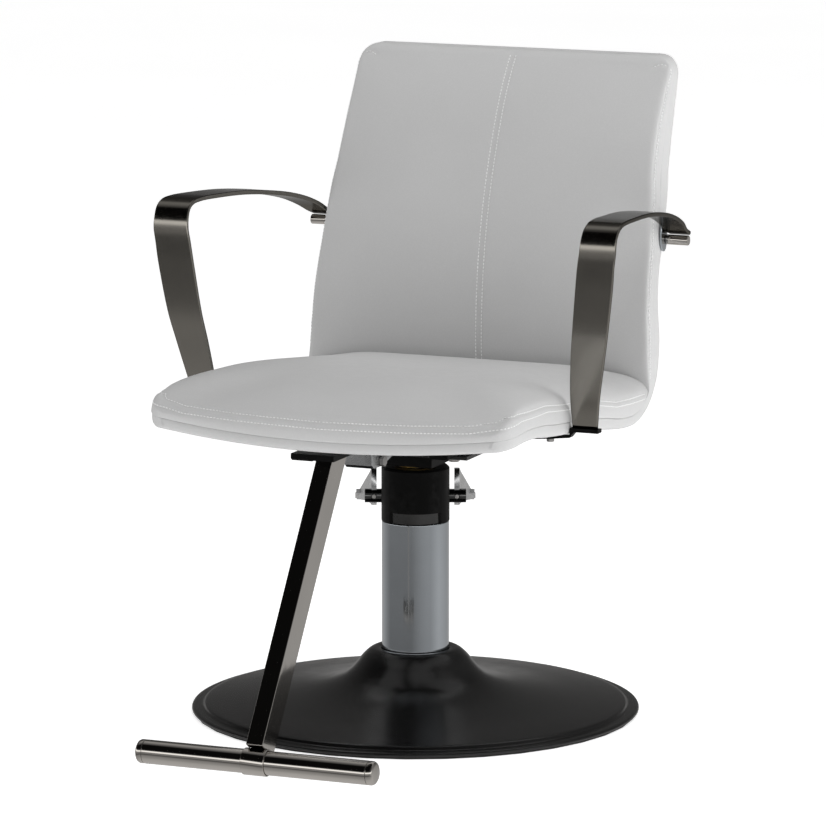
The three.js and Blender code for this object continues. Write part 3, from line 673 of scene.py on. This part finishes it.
def stuffed(obj, held, cap):
    """Blows a pad up as cloth. held(co) marks the points that lie against the board, and no
    point moves further than cap, in mm."""
    start = points_of(obj.data)
    fixed = held(start / MM)
    group = obj.vertex_groups.new(name="held")
    group.add([int(i) for i in np.nonzero(fixed)[0]], 1.0, "REPLACE")
    cloth = obj.modifiers.new("stuffing", "CLOTH")
    settings = cloth.settings
    settings.quality = 5
    settings.mass = 0.3
    settings.use_pressure = True
    settings.uniform_pressure_force = PRESSURE
    settings.tension_stiffness = STIFFNESS
    settings.compression_stiffness = STIFFNESS
    settings.bending_stiffness = BENDING
    settings.shrink_min = SHRINK
    settings.vertex_group_mass = "held"
    settings.effector_weights.gravity = 0
    cloth.collision_settings.use_collision = False
    cloth.point_cache.frame_end = STUFFING_STEPS
    for step in range(1, STUFFING_STEPS + 1):
        bpy.context.scene.frame_set(step)
    puffed = points_of(evaluated(obj))
    bpy.context.scene.frame_set(1)
    move = puffed - start
    size = np.linalg.norm(move, axis=1, keepdims=True)
    move *= np.minimum(1, cap * MM / np.maximum(size, 1e-9))
    free = evened(obj.data, np.where(fixed, 0.0, 1.0)[:, None], FADING_ROUNDS)
    move = evened(obj.data, move, EVENING_ROUNDS) * free
    obj.modifiers.clear()
    set_points(obj.data, start + move)
    fine = obj.modifiers.new("fine", "SUBSURF")
    fine.levels = 1
    fine.render_levels = 1
    swap_mesh(obj, evaluated(obj))
    obj.vertex_groups.clear()
    obj.data.shade_smooth()


def surface_tree(obj):
    """A search tree of a piece's surface, in mm."""
    co = points_of(obj.data) / MM
    faces = [tuple(poly.vertices) for poly in obj.data.polygons]
    return BVHTree.FromPolygons([Vector(c) for c in co], faces)


def traced(tree, rays):
    """Where rays from outside first meet a piece: a list of (point, normal), in mm."""
    hits = []
    for origin, direction in rays:
        point, normal, _, _ = tree.ray_cast(Vector(origin), Vector(direction))
        if point is not None:
            hits.append((np.array(point), np.array(normal)))
    return hits


def sunk(obj, path, depth, width):
    """Draws a sewn line into a piece: a soft groove along the path."""
    co = points_of(obj.data) / MM
    line = np.array([p for p, _ in path])
    facing = np.array([n for _, n in path])
    moved = co.copy()
    for start in range(0, len(co), 20000):
        part = co[start:start + 20000]
        gap = np.full(len(part), 1e9)
        push = np.zeros_like(part)
        for k in range(len(line)):
            d = np.linalg.norm(part - line[k], axis=1)
            nearer = d < gap
            gap[nearer] = d[nearer]
            push[nearer] = facing[k]
        moved[start:start + 20000] -= push * (depth * np.exp(-(gap / width) ** 2))[:, None]
    set_points(obj.data, moved * MM)


def even_path(path, pitch):
    """The same path with a point at every pitch, as (point, normal, tangent)."""
    p = np.array([q for q, _ in path])
    n = np.array([q for _, q in path])
    run = np.concatenate([[0], np.cumsum(np.linalg.norm(np.diff(p, axis=0), axis=1))])
    out = []
    for s in np.arange(pitch / 2, run[-1], pitch):
        q = np.array([np.interp(s, run, p[:, k]) for k in range(3)])
        m = np.array([np.interp(s, run, n[:, k]) for k in range(3)])
        m /= np.linalg.norm(m)
        ahead = np.array([np.interp(s + 1, run, p[:, k]) for k in range(3)])
        behind = np.array([np.interp(s - 1, run, p[:, k]) for k in range(3)])
        t = ahead - behind
        t -= m * t.dot(m)
        t /= max(1e-9, np.linalg.norm(t))
        out.append((q, m, t))
    return out


def stitching(name, paths, body, pitch=5.0, length=4.1, radius=0.7):
    """Rows of single stitches: each a short arched thread that dips in at both ends."""
    verts, faces = [], []
    sides = 6
    shape = [(-0.5, 0.35, -0.7), (-0.3, 1.0, 0.15), (0, 1.05, 0.45), (0.3, 1.0, 0.15),
             (0.5, 0.35, -0.7)]
    for path in paths:
        for q, m, t in even_path(path, pitch):
            b = np.cross(m, t)
            first = len(verts)
            for share, size, lift in shape:
                middle = q + t * share * length + m * lift * radius
                for k in range(sides):
                    a = 2 * math.pi * k / sides
                    verts.append(middle + radius * size * (math.cos(a) * b + math.sin(a) * m))
            for i in range(len(shape) - 1):
                for k in range(sides):
                    j = (k + 1) % sides
                    here = first + i * sides
                    faces.append((here + k, here + j, here + sides + j, here + sides + k))
            last = first + (len(shape) - 1) * sides
            faces.append(tuple(first + k for k in reversed(range(sides))))
            faces.append(tuple(last + k for k in range(sides)))
    rows = piece(name, verts, faces, body, THREAD)
    fix_normals(rows)
    return rows


def seat_rays(drop):
    """Rays from outside at the height of the upper row of stitching round the seat, or of
    the lower row where drop is 1: up one side, round the front and back along the other."""
    reach = 420
    corner_x = FRONT_HALF - CORNER_RADIUS
    corner_y = SEAT_FRONT + CORNER_RADIUS - 3
    half_turn = []
    for y in np.arange(206, corner_y, -4):
        z = at(STITCH_SIDE, y) - drop * at(STITCH_GAP_SIDE, y)
        half_turn.append(((reach, y, z), (-1, 0, 0)))
    z_side = at(STITCH_SIDE, corner_y) - drop * at(STITCH_GAP_SIDE, corner_y)
    z_front = at(STITCH_FRONT, corner_x) - drop * STITCH_GAP
    for a in range(6, 86, 8):
        c, s = math.cos(math.radians(a)), math.sin(math.radians(a))
        z = z_side + (z_front - z_side) * a / 90
        half_turn.append(((corner_x + 200 * c, corner_y - 200 * s, z), (-c, s, 0)))
    for x in np.arange(corner_x, 2, -4):
        half_turn.append(((x, -reach, at(STITCH_FRONT, x) - drop * STITCH_GAP), (0, 1, 0)))
    mirror = [((-o[0], o[1], o[2]), (-d[0], d[1], d[2])) for o, d in reversed(half_turn)]
    return half_turn + mirror


def make_seat_cushion():
    """The seat cushion: a crowned pad that is full at its sides, with a sewn border."""
    length = SEAT_REAR - SEAT_FRONT
    edge_line = smooth_table(SEAT_EDGE)
    middle_line = smooth_table(SEAT_MIDDLE)

    def placed(height, rear):
        def surface(x, s):
            y = SEAT_FRONT + (rear - SEAT_FRONT) * s / length
            u = x / seat_half(y)
            return (x, y - bow(y) * max(0, 1 - u * u), height(y, u))
        return surface

    def low(y, u):
        in_y = at([(-266, PRESSED_IN), (-240, OVER_BOARD), (150, OVER_BOARD),
                   (180, PRESSED_IN)], y)
        lift = min(in_y, at([(0.82, OVER_BOARD), (1, PRESSED_IN)], abs(u)))
        return inside_height(y, min(1, abs(u))) + lift

    def high(y, u):
        edge = at(edge_line, y)
        return edge + (at(middle_line, y) - edge) * (1 - min(1, abs(u)) ** 14)

    def half(s):
        y = SEAT_FRONT + s
        return rounded(seat_half(y) + 1, min(s, 12 * (length - s)))

    verts, faces = pad(placed(low, SEAT_REAR - UNDERCUT), placed(high, SEAT_REAR), length,
                       half, SEAT_SIDE_EDGE, END_EDGE, CUSHION_POWERS, 56, 8.0)
    cushion = piece("seat_pad", verts, faces, "seat", LEATHER)
    fix_normals(cushion)

    def held(co):
        floor = np.array([inside_height(y, min(1, abs(x) / SEAT_HALF)) for x, y, _ in co])
        return co[:, 2] < floor + HELD_DEPTH

    stuffed(cushion, held, SEAT_PUFF)
    tree = surface_tree(cushion)
    upper = traced(tree, seat_rays(0))
    lower = traced(tree, seat_rays(1))
    sunk(cushion, upper, *SEAT_UPPER_SEAM)
    sunk(cushion, lower, *SEAT_LOWER_SEAM)
    tree = surface_tree(cushion)
    rows = [traced(tree, seat_rays(0.06)), traced(tree, seat_rays(0.94))]
    stitching("seat_stitching", rows, "seat")
    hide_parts("seat_cushion")


def back_side_rays(side):
    """Rays at the sewn line just inside one side edge of the back, up to its top corner."""
    rays = []
    for z in np.arange(426, 838, 4):
        x, y = at(HALF_WIDTHS, z) - 1, at(BACK_EDGE, z) + 8
        rays.append(((side * (x + 200), y - 200, z), (-side * 0.7071, 0.7071, 0)))
    half = at(HALF_WIDTHS, 840)
    for a in range(8, 90, 9):
        c, s = math.cos(math.radians(a)), math.sin(math.radians(a))
        x = side * (half - 25 + 20 * c)
        flat = 0.7071 * c
        rays.append(((x + side * 200 * flat, 352 - 200 * flat, 840 + 9 * s + 200 * s),
                     (-side * flat, flat, -s)))
    return rays


def centre_rays(x):
    """Rays at the sewn line up the middle of the back and over its top edge."""
    rays = [((x, -100, z), (0, 1, 0)) for z in np.arange(440, 836, 4)]
    for a in range(5, 90, 9):
        c, s = math.cos(math.radians(a)), math.sin(math.radians(a))
        rays.append(((x, 352 - 300 * c, 836 + 300 * s), (0, c, -s)))
    return rays


def make_back_cushion():
    """The back cushion: full and rounded at its edges, sewn down its middle and its sides."""
    length = BACK_TOP - BACK_BOTTOM
    edge_line = smooth_table(BACK_EDGE)
    middle_line = smooth_table(BACK_MIDDLE)

    def height(x, s):
        """The bottom edge follows the seat cushion, which lies lower at its sides."""
        drop = BACK_SIDE_DROP * min(1, abs(x) / SEAT_HALF) ** 6
        return BACK_BOTTOM + s - drop * max(0, 1 - s / 90) ** 2

    def rear(x, s):
        z = height(x, s)
        u = min(1, abs(x) / at(HALF_WIDTHS, z))
        in_z = at([(520, PRESSED_IN), (548, OVER_BOARD), (815, OVER_BOARD),
                   (845, PRESSED_IN)], z)
        gap = min(in_z, at([(0.82, OVER_BOARD), (1, BACK_EDGE_GAP)], u))
        return (x, inside_depth(z, u) - gap, z)

    def front(x, s):
        z = height(x, s)
        u = min(1, abs(x) / at(HALF_WIDTHS, z))
        edge = at(edge_line, z)
        return (x, edge + (at(middle_line, z) - edge) * (1 - u ** 4), z)

    def half(s):
        z = BACK_BOTTOM + s
        return rounded(at(HALF_WIDTHS, z) + 1.5, min(length - s, 5 * s + 18))

    verts, faces = pad(rear, front, length, half, BACK_SIDE_EDGE, END_EDGE, CUSHION_POWERS,
                       50, 8.0)
    cushion = piece("back_pad", verts, faces, "seat", LEATHER)
    fix_normals(cushion)

    def held(co):
        wall = np.array([inside_depth(z, min(1, abs(x) / at(HALF_WIDTHS, z)))
                         for x, _, z in co])
        return co[:, 1] > wall - HELD_DEPTH

    stuffed(cushion, held, BACK_PUFF)
    tree = surface_tree(cushion)
    sunk(cushion, traced(tree, centre_rays(0)), *BACK_CENTRE_SEAM)
    for side in (1, -1):
        sunk(cushion, traced(tree, back_side_rays(side)), *BACK_SIDE_SEAM)
    tree = surface_tree(cushion)
    rows = [traced(tree, centre_rays(x)) for x in (-CENTRE_ROW, CENTRE_ROW)]
    rows += [traced(tree, back_side_rays(side)) for side in (1, -1)]
    stitching("back_stitching", rows, "seat")
    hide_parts("back_cushion")


def make_shell_stitching(shell):
    """One row of stitching just inside the edge of the shell's outer face."""
    path = []
    for s in np.arange(24, SHELL_LENGTH - 20, 5):
        path.append(OUTER(SHELL_HALF(s) - SHELL_ROW_INSET, s))
    top = SHELL_LENGTH - 16
    reach = SHELL_HALF(top) - SHELL_ROW_INSET - 4
    for x in np.arange(reach, -reach, -5):
        path.append(OUTER(x, top))
    for s in np.arange(SHELL_LENGTH - 20, 24, -5):
        path.append(OUTER(SHELL_ROW_INSET - SHELL_HALF(s), s))
    tree = surface_tree(shell)
    hits = []
    for point in path:
        place, normal, _, _ = tree.find_nearest(Vector(point))
        hits.append((np.array(place), np.array(normal)))
    stitching("shell_stitching", [hits], "seat")


# ---------------------------------------------------------------- arms
def band_section(half):
    """The section of a band as (across, in): rounded edges, with points beside them."""
    r = BAND_EDGE
    quarter = [math.radians(a) for a in (0, 22.5, 45, 67.5, 90)]
    corners = [(half - r, BAND - r, 0), (r - half, BAND - r, 90), (r - half, r, 180),
               (half - r, r, 270)]
    out = []
    for cx, cy, turn in corners:
        arc = []
        for a in quarter:
            b = a + math.radians(turn)
            arc.append((cx + r * math.cos(b), cy + r * math.sin(b)))
        out += arc
    return out


def make_arm(side_name, side):
    """One arm: a flat metal band bent from the seat up, over and down to the rear rod."""
    path = smooth_line(BAND_PATH, 7)
    rings, uvs = [], []
    run = 0.0
    for i, (y, z, middle, width) in enumerate(path):
        before = path[max(0, i - 1)]
        after = path[min(len(path) - 1, i + 1)]
        ty, tz = after[0] - before[0], after[1] - before[1]
        size = math.hypot(ty, tz)
        inward = (tz / size, -ty / size)
        if i:
            run += math.hypot(y - before[0], z - before[1])
        ring = []
        for across, deep in band_section(width / 2):
            ring.append((side * (middle + across), y + inward[0] * deep, z + inward[1] * deep))
            uvs.append((across * MM, run * MM))
        rings.append(ring)
    verts, faces = loft(rings)
    band = piece(f"arm_{side_name}_metal", verts, faces, "seat", BRUSHED_NICKEL,
                 uvs)
    fix_normals(band)
    even = band.modifiers.new("shading", "WEIGHTED_NORMAL")
    even.weight = 90
    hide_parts(f"arm_band_{side_name}")


# ---------------------------------------------------------------- camera, floor and light
CAMERA_AZIMUTH = 22.5
CAMERA_ELEVATION = 9.914
CAMERA_DISTANCE = 7.7815
LENS = 254.8
FLOOR_RADIUS = 40.0
FLOOR_GLOW = 0.66
FILL = 0.36                   # the light that matt surfaces get from all round
# Each light: its name, place and target in metres, its two sides and its power.
LIGHTS = [
    ("side_light", (3.2, 0.55, 0.95), (0, 0, 0.55), (2.0, 2.0), 42),
    ("top_light", (0.3, 0.4, 3.0), (0, 0.0, 0.4), (2.4, 2.4), 25),
    ("front_light", (0.5, -3.0, 2.7), (0, 0.1, 0.6), (3.0, 2.0), 20),
]


def make_camera():
    """Far to the front and the sitter's left, a little above the chair, through a long lens."""
    azimuth, elevation = math.radians(CAMERA_AZIMUTH), math.radians(CAMERA_ELEVATION)
    back = Vector((math.sin(azimuth) * math.cos(elevation),
                   -math.cos(azimuth) * math.cos(elevation), math.sin(elevation)))
    right = Vector((math.cos(azimuth), math.sin(azimuth), 0))
    up = back.cross(right)
    target = Vector((0, 0, 0.430)) - right * 0.003292 - up * 0.026378
    data = bpy.data.cameras.new("camera")
    data.sensor_width = 36
    data.lens = LENS
    camera = bpy.data.objects.new("camera", data)
    turn = Matrix((right, up, back)).transposed().to_4x4()
    camera.matrix_world = Matrix.Translation(target + back * CAMERA_DISTANCE) @ turn
    bpy.context.scene.collection.objects.link(camera)
    bpy.context.scene.camera = camera


def make_floor():
    """A pale disc. It gives glossy surfaces nothing to mirror, so they see only the studio."""
    mat = bpy.data.materials.new("pale_floor")
    mat.use_nodes = True
    tree = mat.node_tree
    shader = tree.nodes["Principled BSDF"]
    where = add(tree, "ShaderNodeTexCoord").outputs["Object"]
    tone = spread(tree, noise(tree, where, 2.0, 3), 0.90, 0.93)
    tree.links.new(tone, shader.inputs["Base Color"])
    shader.inputs["Roughness"].default_value = 0.9
    shader.inputs["Specular IOR Level"].default_value = 0.1
    shader.inputs["Emission Color"].default_value = (1, 1, 1, 1)
    shader.inputs["Emission Strength"].default_value = FLOOR_GLOW
    mesh = bpy.data.meshes.new("floor")
    count = 64
    ring = []
    for k in range(count):
        a = 2 * math.pi * k / count
        ring.append((FLOOR_RADIUS * math.cos(a), FLOOR_RADIUS * math.sin(a), 0))
    mesh.from_pydata(ring, [], [tuple(range(count))])
    floor = bpy.data.objects.new("floor", mesh)
    mesh.materials.append(mat)
    floor.visible_glossy = False
    bpy.context.scene.collection.objects.link(floor)


def ramp(tree, value, stops):
    """A grey ramp over a direction's height, from -1 straight down to 1 straight up."""
    share = add(tree, "ShaderNodeMapRange", {"Value": value, "From Min": -1.0, "From Max": 1.0})
    node = add(tree, "ShaderNodeValToRGB", {"Fac": share.outputs[0]})
    elements = node.color_ramp.elements
    while len(elements) > 1:
        elements.remove(elements[-1])
    for i, (height, level) in enumerate(stops):
        place = (height + 1) / 2
        stop = elements[0] if i == 0 else elements.new(place)
        stop.position = place
        stop.color = grey(level, 0.015)
    return node.outputs[0]


def make_world():
    """A studio: white to look at, even light for matt surfaces, and for glossy ones a dark
    room with a bright strip at eye level, a ceiling light and a pale wall behind."""
    world = bpy.data.worlds.new("studio")
    world.use_nodes = True
    tree = world.node_tree
    tree.nodes.clear()
    direction = add(tree, "ShaderNodeTexCoord").outputs["Generated"]
    parts = add(tree, "ShaderNodeSeparateXYZ", {0: direction})
    ahead = ramp(tree, parts.outputs["Z"], [
        (-1.0, 0.75), (-0.85, 0.66), (-0.73, 0.52), (-0.60, 0.46), (-0.48, 0.40), (-0.36, 0.22),
        (-0.26, 0.10), (-0.20, 0.28), (-0.12, 0.40), (-0.05, 0.30), (0.03, 0.5), (0.08, 1.7),
        (0.22, 1.9), (0.30, 0.05), (0.45, 0.006), (1.0, 0.006)])
    behind = ramp(tree, parts.outputs["Z"], [
        (-1.0, 0.75), (-0.50, 0.60), (-0.20, 0.48), (0.0, 0.35), (0.12, 0.13), (0.45, 0.11),
        (0.70, 0.10), (0.80, 0.5), (0.92, 0.5), (0.96, 0.02), (1.0, 0.006)])
    share = spread(tree, parts.outputs["Y"], 0.0, 1.0, -0.25, 0.35)
    seen = mixed(tree, share, ahead, behind)
    # The room is brighter towards the sitter's left, where the window is.
    window = add(tree, "ShaderNodeVectorMath", {0: direction, 1: (0.95, -0.10, 0.0)},
                 operation="DOT_PRODUCT").outputs["Value"]
    glow = spread(tree, window, 0.0, 0.20, 0.25, 0.9)
    seen = add(tree, "ShaderNodeMix", {0: 1.0, 6: seen, 7: glow}, data_type="RGBA",
               blend_type="ADD").outputs[2]
    ray = add(tree, "ShaderNodeLightPath")
    matt = mixed(tree, ray.outputs["Is Glossy Ray"], grey(FILL), seen)
    colour = mixed(tree, ray.outputs["Is Camera Ray"], matt, (1, 1, 1, 1))
    background = add(tree, "ShaderNodeBackground", {"Color": colour, "Strength": 1.0})
    output = add(tree, "ShaderNodeOutputWorld")
    tree.links.new(background.outputs[0], output.inputs["Surface"])
    # Without this, part of the matt fill would show in the glossy surfaces too.
    world.cycles.sampling_method = "NONE"
    bpy.context.scene.world = world


def make_light(name, place, target, size, power):
    """A soft rectangular light that isn't itself seen, not even in a reflection."""
    data = bpy.data.lights.new(name, "AREA")
    data.shape = "RECTANGLE"
    data.size, data.size_y = size
    data.energy = power
    light = bpy.data.objects.new(name, data)
    light.location = place
    light.rotation_euler = (Vector(target) - Vector(place)).to_track_quat("-Z", "Y").to_euler()
    light.visible_glossy = False
    light.visible_camera = False
    bpy.context.scene.collection.objects.link(light)


make_camera()
make_base()
make_tube()
the_shell = make_shell()
make_shell_stitching(the_shell)
make_seat_cushion()
make_back_cushion()
for arm_name, arm_side in (("left", 1), ("right", -1)):
    make_arm(arm_name, arm_side)
make_floor()
make_world()
for light_settings in LIGHTS:
    make_light(*light_settings)
bpy.context.scene.view_settings.view_transform = "Standard"
